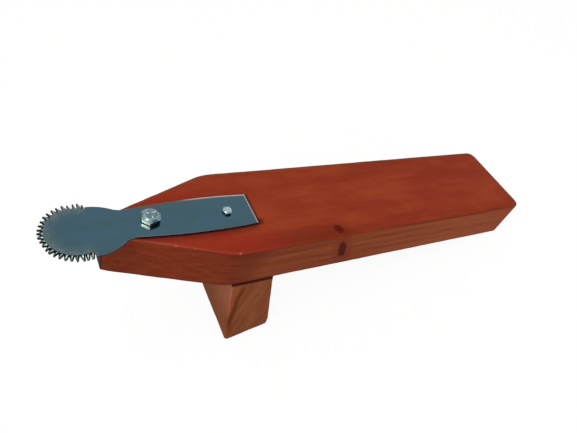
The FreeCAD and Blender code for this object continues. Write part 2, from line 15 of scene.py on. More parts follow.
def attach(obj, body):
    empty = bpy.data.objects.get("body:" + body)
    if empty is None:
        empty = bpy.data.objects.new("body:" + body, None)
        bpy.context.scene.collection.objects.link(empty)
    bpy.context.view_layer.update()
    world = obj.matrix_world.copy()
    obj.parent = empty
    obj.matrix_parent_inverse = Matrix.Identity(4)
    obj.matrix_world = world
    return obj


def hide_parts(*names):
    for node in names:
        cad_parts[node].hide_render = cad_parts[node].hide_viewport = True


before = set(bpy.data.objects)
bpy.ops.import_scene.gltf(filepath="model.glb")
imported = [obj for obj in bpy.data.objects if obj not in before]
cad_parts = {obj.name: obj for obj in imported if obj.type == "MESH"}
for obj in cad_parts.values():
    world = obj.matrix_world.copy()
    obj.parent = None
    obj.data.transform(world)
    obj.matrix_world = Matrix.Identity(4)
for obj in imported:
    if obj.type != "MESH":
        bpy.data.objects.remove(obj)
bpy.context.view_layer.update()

MM = 0.001

# The board, as the CAD has it.
BOARD_LENGTH, BOARD_WIDTH, BOARD_THICKNESS = 492.5, 100.0, 48.0
NOSE_LENGTH, NOSE_TIP_WIDTH = 102.3, 18.3
NOSE_SLOPE = (BOARD_WIDTH - NOSE_TIP_WIDTH) / 2 / NOSE_LENGTH
SEAT_LENGTH = BOARD_LENGTH - NOSE_LENGTH
SHOULDER_ROUND, SEAT_CORNER_ROUND, HEEL_ROUND, EDGE_ROUND = 55.0, 10.0, 4.0, 1.1
TILT = math.radians(17.5)

# The foot. Its wood is worn rounder at the sole than the CAD's.
FOOT_SETBACK, SOLE_LENGTH, FOOT_EDGE_ROUND, SOLE_ROUND, JOINT_ARRIS = 7.5, 52.0, 1.5, 3.8, 0.8
FOOT_FRONT_RAKE, FOOT_REAR_RAKE, FOOT_GRAIN = math.radians(8.4), math.radians(4), math.radians(-62)

# The blade, and how far aside its head, its strip and its collar lie. Its rim is ground 0.01 deeper than the
# CAD's, so that it stays inside the CAD's box.
PLATE = 2.0
HEAD_REACH, HEAD_ASIDE, STRIP_ASIDE, COLLAR_ASIDE = NOSE_LENGTH + 17.7, -2.5, 0.8, -1.8
TAIL_AT, TAIL_HALF = HEAD_REACH + 33.7, 18.4
BOW_RADIUS, WAIST_SETBACK, WAIST_SKEW, WAIST_HALF, WAIST_RADIUS = 560.0, 41.5, 6.0, 15.85, 18.0
ROOT_RADIUS, COLLAR_STEP, COLLAR_ANGLE = 24.3, 3.6, math.radians(68.6)
BEVEL_WIDTH, BEVEL_DEPTH, ARRIS_WIDTH, ARRIS_DEPTH = 3.2, 0.61, 0.45, 0.35
TOOTH_COUNT, TOOTH_STEPS = 26, 8

# The fasteners.
CLAMP_REACH, CLAMP_RADIUS, CLAMP_FLATS, CLAMP_HEAD, CLAMP_TURN = NOSE_LENGTH - 41.1, 5.0, 16.0, 6.4, 16
WASHER_RADIUS, WASHER_THICKNESS, NUT_HEIGHT, NUT_TURN, CLAMP_PROJECTION = 10.0, 2.0, 8.0, 20, 6.0
CLAMP_LENGTH = PLATE + BOARD_THICKNESS + WASHER_THICKNESS + NUT_HEIGHT + CLAMP_PROJECTION
SCREW_SETBACK, SCREW_ASIDE, SCREW_RADIUS, SCREW_FLATS, SCREW_HEAD, SCREW_TURN = 8.3, -2.6, 2.5, 8.5, 3.5, 58
SCREW_LENGTH, SCREW_TIP = 38.0, 6.0
HOLE_GAP, CROWN_SHARE, CROWN_ANGLE, HEAD_FLAT_SHARE = 0.5, 0.95, 37, 0.77
THREAD_PITCH, THREAD_DEPTH = 1.5, 0.85

# Where the board's frame starts, in the row's frame.
SHOULDER_HEIGHT = (HEEL_ROUND + (SEAT_LENGTH - HEEL_ROUND) * math.sin(TILT)
                   + (BOARD_THICKNESS - HEEL_ROUND) * math.cos(TILT))
FOOT_HEIGHT = SHOULDER_HEIGHT - FOOT_SETBACK * math.sin(TILT) - BOARD_THICKNESS * math.cos(TILT)
FOOT_TOP_FRONT = -SOLE_LENGTH / 2 + FOOT_HEIGHT * math.tan(FOOT_FRONT_RAKE)
SHOULDER_BACK = FOOT_TOP_FRONT - FOOT_SETBACK * math.cos(TILT) + BOARD_THICKNESS * math.sin(TILT)


def on_board(along=0.0, above=0.0, aside=0.0):
    """The matrix from millimetres at a place on the tilted board to metres in the row's frame."""
    turn = Matrix.Rotation(TILT, 4, "Y")
    start = Vector((SHOULDER_BACK, 0, SHOULDER_HEIGHT)) + turn.to_3x3() @ Vector((along, aside, above))
    return Matrix.Scale(MM, 4) @ Matrix.Translation(start) @ turn


ON_FLOOR = Matrix.Scale(MM, 4)
ON_BLADE = on_board(-HEAD_REACH, aside=HEAD_ASIDE)


def add_object(name, data):
    """A new object in the scene, at the origin."""
    added = bpy.data.objects.new(name, data)
    bpy.context.scene.collection.objects.link(added)
    return added


# ---- node trees ----

def operator(operation, swapped=False):
    """A method that adds a Math node for a value and another."""
    def made(value, other):
        return value.graph.maths(operation, *((other, value) if swapped else (value, other)))

    return made


class Value:
    """What a node gives out. Expressions of values and numbers add Math nodes.

    The larger of two is a | b and the smaller is a & b.
    """

    __add__ = __radd__ = operator("ADD")
    __sub__, __rsub__ = operator("SUBTRACT"), operator("SUBTRACT", swapped=True)
    __mul__ = __rmul__ = operator("MULTIPLY")
    __truediv__, __pow__ = operator("DIVIDE"), operator("POWER")
    __or__, __and__ = operator("MAXIMUM"), operator("MINIMUM")

    def __init__(self, graph, socket):
        self.graph, self.socket = graph, socket

    def __abs__(self):
        return self.graph.maths("ABSOLUTE", self)

    def other(self, number):
        """Another output of the same node."""
        return Value(self.graph, self.socket.node.outputs[number])

    def rise(self, low, high):
        """0 at low, 1 at high and a smooth rise between."""
        return self.graph.node("ShaderNodeMapRange", (self, low, high, 0, 1), interpolation_type="SMOOTHSTEP")


class Graph:
    """A node tree that grows by one call for each node."""

    def __init__(self, tree):
        self.tree = tree

    def node(self, kind, sockets=(), out=0, **settings):
        """Adds a node: its settings first, then the values or links of its sockets, by number or by name."""
        made = self.tree.nodes.new(kind)
        for name, setting in settings.items():
            setattr(made, name, setting)
        for key, given in (sockets.items() if isinstance(sockets, dict) else enumerate(sockets)):
            if isinstance(given, Value):
                self.tree.links.new(given.socket, made.inputs[key])
            else:
                made.inputs[key].default_value = given
        return Value(self, made.outputs[out])

    def end(self, kind, last):
        """Adds the tree's last node and links what it shows."""
        self.tree.links.new(last.socket, self.tree.nodes.new(kind).inputs[0])

    def maths(self, operation, *values):
        return self.node("ShaderNodeMath", values, operation=operation)

    def vector_maths(self, operation, *values, out=0):
        return self.node("ShaderNodeVectorMath", values, out, operation=operation)

    def vector(self, x=0, y=0, z=0):
        return self.node("ShaderNodeCombineXYZ", (x, y, z))

    def parts(self, vector):
        x = self.node("ShaderNodeSeparateXYZ", (vector,))
        return x, x.other(1), x.other(2)


def paint(*swatch):
    """A colour from the three numbers of an sRGB swatch, 0 to 255."""
    levels = (level / 255 for level in swatch)
    return (*(level / 12.92 if level <= 0.04045 else ((level + 0.055) / 1.055) ** 2.4 for level in levels), 1)


class Finish(Graph):
    """A material whose patterns are laid out in millimetres, in a frame turned about Y from the row's.

    A colour is given as a value or as a swatch.
    """

    def __init__(self, name, start=(0, 0, 0), turn=0):
        self.material = bpy.data.materials.new(name)
        self.material.use_nodes = True
        super().__init__(self.material.node_tree)
        self.shader = self.tree.nodes["Principled BSDF"]
        self.place = self.laid_out(start, turn)

    def laid_out(self, start=(0, 0, 0), turn=0):
        """The place in millimetres in a frame that starts and is turned so."""
        metres = self.node("ShaderNodeTexCoord").other(3)
        return self.node("ShaderNodeMapping", (metres, start, (0, turn, 0), (MM, MM, MM)), vector_type="TEXTURE")

    def cloud(self, blotch, detail=3, roughness=0.55, shift=0, place=None):
        """Random shading from 0 to 1, in blotches of a size in millimetres along each axis."""
        scale = tuple(1 / size for size in blotch)
        spread = self.node("ShaderNodeMapping", (place or self.place, (shift,) * 3, (0, 0, 0), scale))
        return self.node("ShaderNodeTexNoise",
                         {"Vector": spread, "Scale": 1, "Detail": detail, "Roughness": roughness})

    def blend(self, factor, first, second):
        first, second = (given if isinstance(given, Value) else paint(*given) for given in (first, second))
        return self.node("ShaderNodeMix", {0: factor, 6: first, 7: second}, 2, data_type="RGBA")

    def stain(self, colour, *coats):
        """The colour with coats laid over it, each a mask and a colour."""
        for mask, coat in coats:
            colour = self.blend(mask, colour, coat)
        return colour

    def shade(self, colour, level):
        """The colour, darker or lighter by a level round 1."""
        return self.node("ShaderNodeMix", {0: 1, 6: colour, 7: level}, 2, data_type="RGBA", blend_type="MULTIPLY")

    def away_from_line(self, start, end):
        """The distance from a line through two points."""
        way = tuple((Vector(end) - Vector(start)).normalized())
        cross = self.vector_maths("CROSS_PRODUCT", self.vector_maths("SUBTRACT", self.place, start), way)
        return self.vector_maths("LENGTH", cross, out=1)

    def away_from(self, point):
        return self.vector_maths("DISTANCE", self.place, point, out=1)

    def done(self, height, depth, **sockets):
        """Sets or links the shader's own sockets, named with _ for a space, and gives the material.

        Its relief has a height from 0 to 1 and a depth in millimetres.
        """
        relief = self.node("ShaderNodeBump", {"Height": height, "Strength": 1, "Distance": depth * MM})
        for name, given in {**sockets, "Normal": relief}.items():
            socket = self.shader.inputs[name.replace("_", " ")]
            if isinstance(given, Value):
                self.tree.links.new(given.socket, socket)
            else:
                socket.default_value = given
        return self.material


# ---- finishes ----

WOOD_SHEEN = 0.01  # an oil stain, not a varnish
KNOT_TOP, KNOT_SIDE = (114.4, -40.8, 0), (123.8, -50, -23.5)
# A dark spot behind the blade's rear near corner: a rust mark, darkened also as the corner's painted contact shadow.
RUST_AND_SHADOW_SPOT = (37.4, -17.1, 0)
EDGE_CHIPS = ((-47.7, 2.2), (4.6, 2.4), (-33.0, 1.1))  # how far along, and how large


def board_finish(name, along=0, aside=0):
    """A finish laid out in the board's frame, or from another place on its top face."""
    return Finish(name, tuple(on_board(along, aside=aside).to_translation()), TILT)


def ring_lines(finish, across, up, pith, spacing, wander):
    """The darker late wood of the year rings round a pith that lies outside the piece."""
    out = (across - pith[0]) ** 2 + (up - pith[1]) ** 2
    ring = finish.maths("FRACT", (out ** 0.5 + wander) / spacing)
    return ring.rise(0.35, 0.93) * ring.rise(1, 0.94)


def seat_wood():
    """The board: red stain on top and nose, browner sides with streaks along the grain, and one knot."""
    finish = board_finish("Red stained plank")
    cloud, blend, shade, stain = finish.cloud, finish.blend, finish.shade, finish.stain
    x, y, z = finish.parts(finish.place)
    knot_away = finish.away_from_line(KNOT_TOP, KNOT_SIDE)
    knot_edge = cloud((5, 5, 5), 2) * 2.4 + knot_away
    bulge = finish.maths("EXPONENT", knot_away * knot_away * -0.006)
    swirl = cloud((170, 26, 26), 2, shift=3.1)
    lines = ring_lines(finish, y, z, (16, -150), 6.5, swirl * 34 + bulge * 9)
    fibres = cloud((46, 1.1, 1.1), 5, 0.62, shift=7.7)
    streaks = cloud((120, 6.5, 5), 3, 0.6, shift=1.3)
    patches = cloud((75, 30, 30), shift=5.9)
    streak, uneven, frayed = streaks.rise(0.34, 0.68), patches - 0.5, fibres - 0.5

    # The top face, redder beside the blade and darker along its near edge.
    near_edge = (y + uneven * 16).rise(-26, -46) * x.rise(-30, 10) * (0.06 + x.rise(310, 150) * 0.12)
    beside_blade = y.rise(-8, -18) * x.rise(-40, 0) * x.rise(150, 20)
    near_rim = (y + uneven * 8).rise(-38, -47) * x.rise(-25, 10) * x.rise(170, 110)
    top = blend(patches.rise(0.36, 0.66), (132, 49, 30), (143, 58, 34))
    top = shade(top, (1 - near_edge) * (1 - beside_blade * 0.07) * (1 - near_rim * 0.11))
    top = blend((x + y * 1.1 + patches * 60).rise(62, -8) * 0.75, top, (138, 43, 29))
    top = shade(top, 1.04 - streak * 0.08 - lines * 0.05 - y.rise(5, 48) * 0.06)

    # The sides: browner to the seat end, redder on the nose, dark round the shoulder; underneath, bare wood and
    # painted shade.
    side = blend(streak, (110, 51, 30), (127, 63, 37))
    side = blend(x.rise(160, 330) * 0.55, side, (136, 69, 42))
    side = shade(side, 1.04 - lines * 0.13 + frayed * 0.3)
    nose = shade(blend(streak, (104, 41, 24), (115, 49, 29)), 1 - lines * 0.04 + frayed * 0.12)
    side = blend((x + uneven * 60).rise(40, 0), side, nose)
    side = shade(side, (1 - abs(x - 14).rise(28, 8) * 0.18) * (1 - x.rise(0, 40) * x.rise(190, 150) * 0.08))
    under_edge = (z + uneven * 7).rise(-8, -2) * x.rise(150, 45) * x.rise(-50, 0)
    # Darker along the bottom edge and underneath: bare wood there, and painted shade under the board.
    underside_and_shade = (z + frayed * 1.5).rise(3.4 - BOARD_THICKNESS, 0.8 - BOARD_THICKNESS)
    side = stain(side, (x.rise(SEAT_LENGTH - 28, SEAT_LENGTH - 8) * 0.7, (136, 55, 34)),
                 (under_edge * 0.7, (98, 38, 21)), (underside_and_shade * 0.5, (78, 42, 31)))
    on_top = (z + frayed * 0.8).rise(-2.3, -0.9)

    # The edges: a dark line below the near one, a darker rim, and lighter nose edges: worn stain and painted
    # highlight.
    from_edge = (x * NOSE_SLOPE & 0) + BOARD_WIDTH / 2 - abs(y)
    edge_line = (z + frayed * 1.6).rise(-4.6, -2.8) * from_edge.rise(1.5, 0.5)
    edge_line = edge_line * x.rise(150, 230) * streaks.rise(0.38, 0.54)
    rim = x.rise(SEAT_LENGTH - 6.5, SEAT_LENGTH - 1.5) | from_edge.rise(4.5, 1) * y.rise(0, 30)
    # Lighter along the nose's top edges: stain worn off, and a painted highlight on the rounding.
    worn_and_highlight = z.rise(-2.4, -0.6) * (from_edge + frayed * 2.2).rise(3.2, 0.5) * patches.rise(0.3, 0.62) * x.rise(60, -10)
    colour = stain(blend(on_top, side, top), (edge_line * 0.6, (96, 36, 19)), (rim * z.rise(-6, -2) * 0.8, (108, 66, 50)),
                   (worn_and_highlight * (0.3 + x.rise(-44, -58) * 0.3), (154, 74, 56)))
    for chip_at, size in EDGE_CHIPS:
        half_width = BOARD_WIDTH / 2 + min(0, chip_at * NOSE_SLOPE)
        away = finish.away_from((chip_at, -half_width, -1)) + frayed * 1.6
        colour = blend(away.rise(size, size * 0.4) * 0.5, colour, (180, 108, 88))

    # The knot, a rust mark and the end grain, both darkened by painted shade, and painted shadow along the blade and
    # behind its tail.
    heart, ring = knot_edge.rise(7, 4.8), finish.maths("FRACT", knot_edge * 0.55).rise(0.2, 0.8)
    knot = blend(on_top, blend(ring, (50, 8, 0), (74, 16, 2)), blend(ring, (66, 12, 5), (98, 27, 14)))
    # The rust mark, darker as the painted contact shadow of the blade's rear near corner.
    rust_and_shadow = (finish.away_from(RUST_AND_SHADOW_SPOT) + cloud((3, 3, 3)) * 3.4).rise(7, 2.6)
    near_bow = blade_curves(-1)[1]
    bow = finish.away_from((near_bow[0] - HEAD_REACH, HEAD_ASIDE - near_bow[1], 0)) - BOW_RADIUS
    bow = abs(bow + frayed * 0.4)
    tail = TAIL_AT - HEAD_REACH
    # Painted shadow of the blade on the wood: a dark line by its near edge, a softer band beyond it, and a line
    # behind its tail.
    shadow_by_blade = (bow.rise(2.2, 0.9) | bow.rise(10, 1) * 0.5) * x.rise(14 - NOSE_LENGTH, 30 - NOSE_LENGTH)
    shadow_behind_tail = (x + frayed * 1.2).rise(tail + 4.4, tail + 2) * x.rise(tail - 2.4, tail - 0.6)
    shadow_behind_tail = shadow_behind_tail * abs(y - (HEAD_ASIDE + STRIP_ASIDE)).rise(TAIL_HALF + 2.2, TAIL_HALF + 0.6)
    blade_shadow = (shadow_by_blade * x.rise(tail + 2.5, tail - 2) | shadow_behind_tail * 0.8) * z.rise(-1.2, -0.4)
    # The nose's end grain is dark of itself, and painted darker still as shade.
    colour = stain(colour, (knot_edge.rise(18, 5) * 0.5, (106, 38, 23)), (heart * 0.9, knot),
                   (rust_and_shadow * 0.75, (72, 26, 16)), (x.rise(1.6 - NOSE_LENGTH, 0.4 - NOSE_LENGTH) * 0.9, (56, 31, 27)),
                   (blade_shadow * 0.85, (46, 18, 18)))
    pores = cloud((16, 0.55, 0.55), 2, shift=2.2).rise(0.62, 0.72)
    return finish.done(
        fibres * 0.7 + lines * 0.3 - pores * 0.5, 0.16, Base_Color=shade(colour, 1 - pores * 0.1),
        Specular_IOR_Level=WOOD_SHEEN, Roughness=0.5 + frayed * 0.22 + pores * 0.1 - heart * 0.1)


def foot_wood():
    """The foot: a browner block, its grain running up and back, with one dark streak by its near front edge."""
    finish = Finish("Brown foot block", turn=FOOT_GRAIN)
    cloud, blend, shade, stain = finish.cloud, finish.blend, finish.shade, finish.stain
    _, across, up = finish.parts(finish.place)
    swirl = cloud((70, 16, 16), 2, shift=4.4)
    lines = ring_lines(finish, across, up, (-115, 66), 7, swirl * 26)
    fibres = cloud((26, 1, 1), 5, 0.62, shift=6.1)
    streaks = cloud((60, 6, 6), shift=2.7)
    patches = cloud((36, 24, 24), 2, shift=8.3)
    colour = blend(streaks.rise(0.34, 0.68), (110, 60, 35), (125, 71, 44))
    colour = blend(patches.rise(0.5, 0.72) * 0.5, colour, (120, 58, 38))
    colour = shade(colour, 1.01 - lines * 0.11 + (fibres - 0.5) * 0.24)

    row = finish.laid_out()
    x, y, height = finish.parts(row)
    bent = cloud((30, 30, 26), 2, shift=9.9, place=row)
    front = (x - height * math.tan(FOOT_FRONT_RAKE)).rise(-24.2, -25.6)
    streak = abs(x - height * height * 0.0022 + 20 + (bent - 0.5) * 6).rise(4.4, 0.8)
    streak = streak * y.rise(-38, -49) * height.rise(8, 40) * height.rise(108, 94)
    # Painted shade in the joint where the foot meets the board: a dark line along the foot's top.
    joint = FOOT_HEIGHT + FOOT_TOP_FRONT * math.tan(TILT)
    joint_shade = (height + x * math.tan(TILT)).rise(joint - 5.8, joint - 2.8) * abs(y).rise(46, 49)
    colour = stain(colour, (front * 0.6, blend(height.rise(20, 105), (124, 72, 41), (170, 100, 74))),
                   (streak * 0.8, (84, 36, 14)), (joint_shade, (56, 10, 0)))
    # Darker and greyer towards the sole: floor soiling, with painted shade along the bottom.
    colour = shade(colour, 1 - (height + (patches - 0.5) * 8).rise(7, 0) * 0.15)
    return finish.done(
        fibres * 0.7 + lines * 0.3, 0.2, Base_Color=blend(height.rise(3.2, 0.8) * 0.6, colour, (74, 58, 52)),
        Specular_IOR_Level=WOOD_SHEEN, Roughness=0.62 + (fibres - 0.5) * 0.2)


def dowel_wood():
    finish = board_finish("Pale dowel")
    fibres = finish.cloud((1, 1, 30), 4)
    colour = finish.blend(fibres.rise(0.3, 0.7), (176, 134, 88), (202, 164, 116))
    return finish.done(fibres, 0.1, Base_Color=colour, Roughness=0.6 + (fibres - 0.5) * 0.2)


def rolled_steel():
    """The blade's faces: blue-grey and polished, with faint rolling marks, ground lighter inside the teeth.

    The far edge is dulled by brown stain towards the waist; towards the tail it and the tail's end are lighter, a
    painted highlight.
    """
    finish = board_finish("Rolled blade steel", -HEAD_REACH, HEAD_ASIDE)
    cloud, blend = finish.cloud, finish.blend
    x, y, _ = finish.parts(finish.place)
    smears = cloud((38, 15, 15), 3, 0.5)
    rolled = cloud((70, 0.5, 0.5), 4, 0.6, shift=2)
    scuffs = cloud((3.5, 2.2, 2.2), 3, 0.6, shift=5)
    spun = cloud((1.3, 1.3, 1.3), 4, 0.65, shift=3)
    steel = blend(smears.rise(0.34, 0.68), (66, 92, 101), (67, 94, 109))
    steel = finish.shade(steel, 1 + (rolled - 0.5) * 0.1)
    edge = (x ** 2 + y ** 2) ** 0.5 + (cloud((9, 9, 9), 2, shift=1) - 0.5) * 3
    ground = edge.rise(ROOT_RADIUS - 10.5, ROOT_RADIUS - 0.5) * x.rise(12, 4)
    from_far = BOW_RADIUS - finish.away_from((*blade_curves(1)[1], PLATE)) + (scuffs - 0.5) * 0.9
    from_tail = TAIL_AT - x + (scuffs - 0.5) * 0.9
    stained = from_far.rise(4.6, 0.6) * x.rise(50, 62) * x.rise(112, 84)
    # A painted highlight along the far edge towards the tail and across the tail's end.
    painted_highlight = from_far.rise(2.3, 1.2) * x.rise(84, 108) | from_tail.rise(1.9, 1) * 0.8
    colour = finish.stain(
        steel, (ground * (0.55 + y.rise(8, 26) * 0.25), blend(spun.rise(0.35, 0.65), (70, 90, 94), (112, 122, 120))),
        (stained * 0.9, (104, 80, 72)), (painted_highlight * 0.9, (184, 168, 160)))
    return finish.done(
        rolled * 0.5 + scuffs * 0.12 + ground * spun * 0.8, 0.012, Base_Color=colour, Metallic=1,
        Roughness=0.15 + (smears - 0.5) * 0.06 + (rolled - 0.5) * 0.05 + ground * 0.2 + stained * 0.25)


def zinc_plate(name, head, centre, flat, dark, light):
    """Bright zinc, duller on the top of a head of a given height, with painted shade and painted highlights on the
    head.
    """
    finish = board_finish(name)
    blend = finish.blend
    x, y, z = finish.parts(finish.place)
    grit = finish.cloud((1.1, 1.1, 1.1), 4, 0.6)
    cloudy = finish.cloud((4, 4, 4), 2, shift=3)
    bright = blend(grit.rise(0.3, 0.7), (182, 164, 150), (220, 206, 192))
    # Painted shade: the sides darken towards the near corner, as their reflection does.
    corner = x - centre[0] - y + centre[1]
    bright = finish.shade(bright, 1 - corner.rise(-flat * 1.2, flat * 1.4) * 0.45)
    # Painted shade along the foot of the head, where it meets the blade.
    shade_at_foot = z.rise(PLATE + 0.9, PLATE + 0.7) * z.rise(PLATE - 0.6, PLATE - 0.2)
    upper = PLATE + head
    struck = z.rise(upper - 2.7, upper - 2.2)
    away = finish.away_from_line((*centre, 0), (*centre, 1))
    # A painted highlight: a lighter ring round the flat top, where its rim would catch the light.
    ring = away.rise(flat - 1.1, flat - 0.4) * away.rise(flat + 0.5, flat - 0.1) * struck
    # The tops of the raised marks are painted lighter, as a highlight.
    colour = finish.stain(
        bright, (shade_at_foot, (30, 34, 36)), (struck, blend(cloudy.rise(0.35, 0.65), dark, light)),
        (z.rise(upper - 0.12, upper - 0.05), (186, 204, 208)), (ring * grit.rise(0.4, 0.62) * 0.8, (168, 184, 188)))
    return finish.done(grit + cloudy * 0.6, 0.03, Base_Color=colour, Metallic=1,
                       Roughness=0.18 + (grit - 0.5) * 0.12 + struck * 0.13)


def plain_metal(name, dark, light, blotch, roughness, depth, painted_highlight=False):
    """A bare metal with a fine blotch, which may carry a painted highlight on the far side and across the blade's
    tail.
    """
    finish = board_finish(name, -HEAD_REACH, HEAD_ASIDE)
    grit = finish.cloud((blotch,) * 3, 4, 0.6)
    colour = finish.blend(grit.rise(0.3, 0.7), dark, light)
    if painted_highlight:
        x, y, _ = finish.parts(finish.place)
        # A painted highlight along the filed far edge and the tail's end.
        bright = x.rise(84, 108) * y.rise(2, 8) | x.rise(TAIL_AT - 1.4, TAIL_AT - 0.6)
        colour = finish.blend(bright * (0.55 + grit * 0.45), colour, (206, 190, 180))
    return finish.done(grit, depth, Base_Color=colour, Metallic=1, Roughness=roughness + (grit - 0.5) * 0.16)


# ---- drawing ----

def new_piece(name, places, faces, matrix, finishes, numbers=None, crease=None):
    """A mesh piece from places in millimetres. numbers gives each face's finish; crease an angle kept sharp."""
    mesh = bpy.data.meshes.new(name)
    mesh.from_pydata([matrix @ Vector(place) for place in places], [], faces)
    for finish in finishes:
        mesh.materials.append(finish)
    if numbers is not None:
        mesh.polygons.foreach_set("material_index", numbers)
    skin = bmesh.new()
    skin.from_mesh(mesh)
    bmesh.ops.recalc_face_normals(skin, faces=skin.faces)
    skin.to_mesh(mesh)
    skin.free()
    mesh.polygons.foreach_set("use_smooth", [True] * len(mesh.polygons))
    if crease is not None:
        mesh.set_sharp_from_angle(angle=math.radians(crease))
    mesh.update()
    return add_object(name, mesh)


def box_skin(counts):
    """The places of a lattice that lie on its skin, and the faces between them, which point outwards."""
    places, numbers, faces = [], {}, []
    for axis in range(3):
        u, v = (axis + 1) % 3, (axis + 2) % 3
        for side in (0, counts[axis]):
            for i in range(counts[u]):
                for j in range(counts[v]):
                    corners = []
                    for du, dv in ((0, 0), (1, 0), (1, 1), (0, 1)):
                        place = [side] * 3
                        place[u], place[v] = i + du, j + dv
                        if tuple(place) not in numbers:
                            numbers[tuple(place)] = len(places)
                            places.append(place)
                        corners.append(numbers[tuple(place)])
                    faces.append(corners if side else corners[::-1])
    return np.array(places), faces


RIM = np.array([0.25, 0.5, 0.75, 1])


def block_skin(*sides):
    """The skin of a rounded block with stations along its sides and more round its rims.

    For each side it gives how far along and how far round the rim every place is, and then the faces.
    """
    rims = [np.concatenate([-RIM[::-1], np.zeros(len(side)), RIM]) for side in sides]
    lattice, faces = box_skin([len(rim) - 1 for rim in rims])
    return *((np.pad(side, len(RIM), "edge")[at], rim[at]) for side, rim, at in zip(sides, rims, lattice.T)), faces


def unit(vectors):
    return vectors / np.linalg.norm(vectors, axis=1)[:, None]


def wave(places, size, seed):
    """Smooth noise from -1 to 1 at each place, with waves of a size in millimetres."""
    return np.array([noise.noise(Vector(place) / size + Vector((seed, seed, seed))) for place in places])


def merged(places, faces, gap=1e-4):
    """The same skin without the places that coincide and the faces that had no area."""
    keys, kept, numbers = {}, [], []
    for place in places:
        key = tuple(np.round(np.array(place) / gap).astype(int))
        if key not in keys:
            keys[key] = len(kept)
            kept.append(place)
        numbers.append(keys[key])
    clean = []
    for face in faces:
        corners = [numbers[corner] for corner in face]
        corners = [corner for at, corner in enumerate(corners) if corner != corners[at - 1]]
        if len(set(corners)) == len(corners) > 2:
            clean.append(corners)
    return kept, clean


# ---- the seat board ----

def rounding(x, start, radius):
    """How far a rounding that starts at a place has gone in or out at x, and the direction that it faces there."""
    run = (x - start) / radius
    rise = math.sqrt(max(0, 1 - run * run))
    return radius * (rise - 1), (run, rise)


def board_plan(x):
    """The board's half width at a place along it, and the direction that its side faces there."""
    slope, corner = math.atan(NOSE_SLOPE), SEAT_LENGTH - SEAT_CORNER_ROUND
    tangent = SHOULDER_ROUND * math.tan(slope / 2)
    if x <= -tangent * math.cos(slope):
        return BOARD_WIDTH / 2 + x * NOSE_SLOPE, (-math.sin(slope), math.cos(slope))
    place = (max(x, corner), corner, SEAT_CORNER_ROUND) if x > tangent else (x, tangent, SHOULDER_ROUND)
    out, way = rounding(*place)
    return BOARD_WIDTH / 2 + out, way


def board_under(x):
    """The height of the board's underside at a place along it, and the direction that it faces there."""
    start = SEAT_LENGTH - HEEL_ROUND
    out, (run, rise) = rounding(max(x, start), start, HEEL_ROUND)
    return -BOARD_THICKNESS - out, (run, -rise)


def make_seat_board(finish):
    """A hand-planed plank: its faces not quite flat, its edges worn unevenly and chipped beside the blade."""
    fine, coarse, change, corner = 1.5, 4, 24, SEAT_LENGTH - SEAT_CORNER_ROUND
    turns = [corner + SEAT_CORNER_ROUND * math.sin(math.radians(5 * step)) for step in range(1, 19)]
    lengths = [*np.arange(-NOSE_LENGTH, change, fine), *np.arange(change, corner, coarse), *turns]
    across = np.concatenate([np.linspace(-1, -0.93, 5), np.linspace(-0.88, 0.88, 29), np.linspace(0.93, 1, 5)])
    (x, ex), (b, ey), (c, ez), faces = block_skin(np.unique(np.round(lengths, 3)), across, np.linspace(-1, 0, 19))
    half, side = (np.array(part) for part in zip(*map(board_plan, x)))
    low, base = (np.array(part) for part in zip(*map(board_under, x)))

    edge = np.stack([x, np.sign(b) * 40, np.sign(c + 0.5) * 30], axis=1)
    wear = EDGE_ROUND * (0.95 + 0.4 * wave(edge, 42, 1.7) + 0.3 * wave(edge, 9, 4.2))
    for chip_at, size in EDGE_CHIPS:
        wear += np.where((b < 0) & (c > -0.5), size * 0.8 * np.exp(-((x - chip_at) / size) ** 2), 0)
    wear += np.where((b < 0) & (c < -0.5), 0.8 * np.exp(-((x + NOSE_LENGTH) / 3.5) ** 2), 0)
    r = np.clip(wear, np.where(x > SEAT_LENGTH - 15, EDGE_ROUND + 0.2, 0.6), 4.5)

    inner_x = -NOSE_LENGTH + r + (x + NOSE_LENGTH) * (BOARD_LENGTH - 2 * r) / BOARD_LENGTH
    on_side = np.where(x > corner, np.abs(b) ** 6, 0)
    on_base = np.where(x > SEAT_LENGTH - HEEL_ROUND, np.abs(c) ** 6, 0)
    bend = np.where(on_side > on_base, side[:, 0], base[:, 0])
    at_x = inner_x + (x - r * bend - inner_x) * np.maximum(on_side, on_base)
    drawn_in = np.where(x > corner, r * side[:, 1], r / np.maximum(side[:, 1], 0.5))
    core = np.stack([at_x, b * (half - drawn_in), -r + c * (-r - low + r * base[:, 1])], axis=1)
    down = np.maximum(-ez, 0)
    way = unit(np.stack([ex + np.abs(ey) * side[:, 0] + down * base[:, 0], ey * side[:, 1],
                         np.where(ez < 0, down * base[:, 1], ez)], axis=1))
    places = core + way * r[:, None]
    places -= way * (0.07 + 0.05 * wave(places, 58, 9.3) + 0.03 * wave(places, 13, 2.9))[:, None]
    return new_piece("seat_board_planed", *merged(places, faces), on_board(), [finish])


# ---- the foot ----

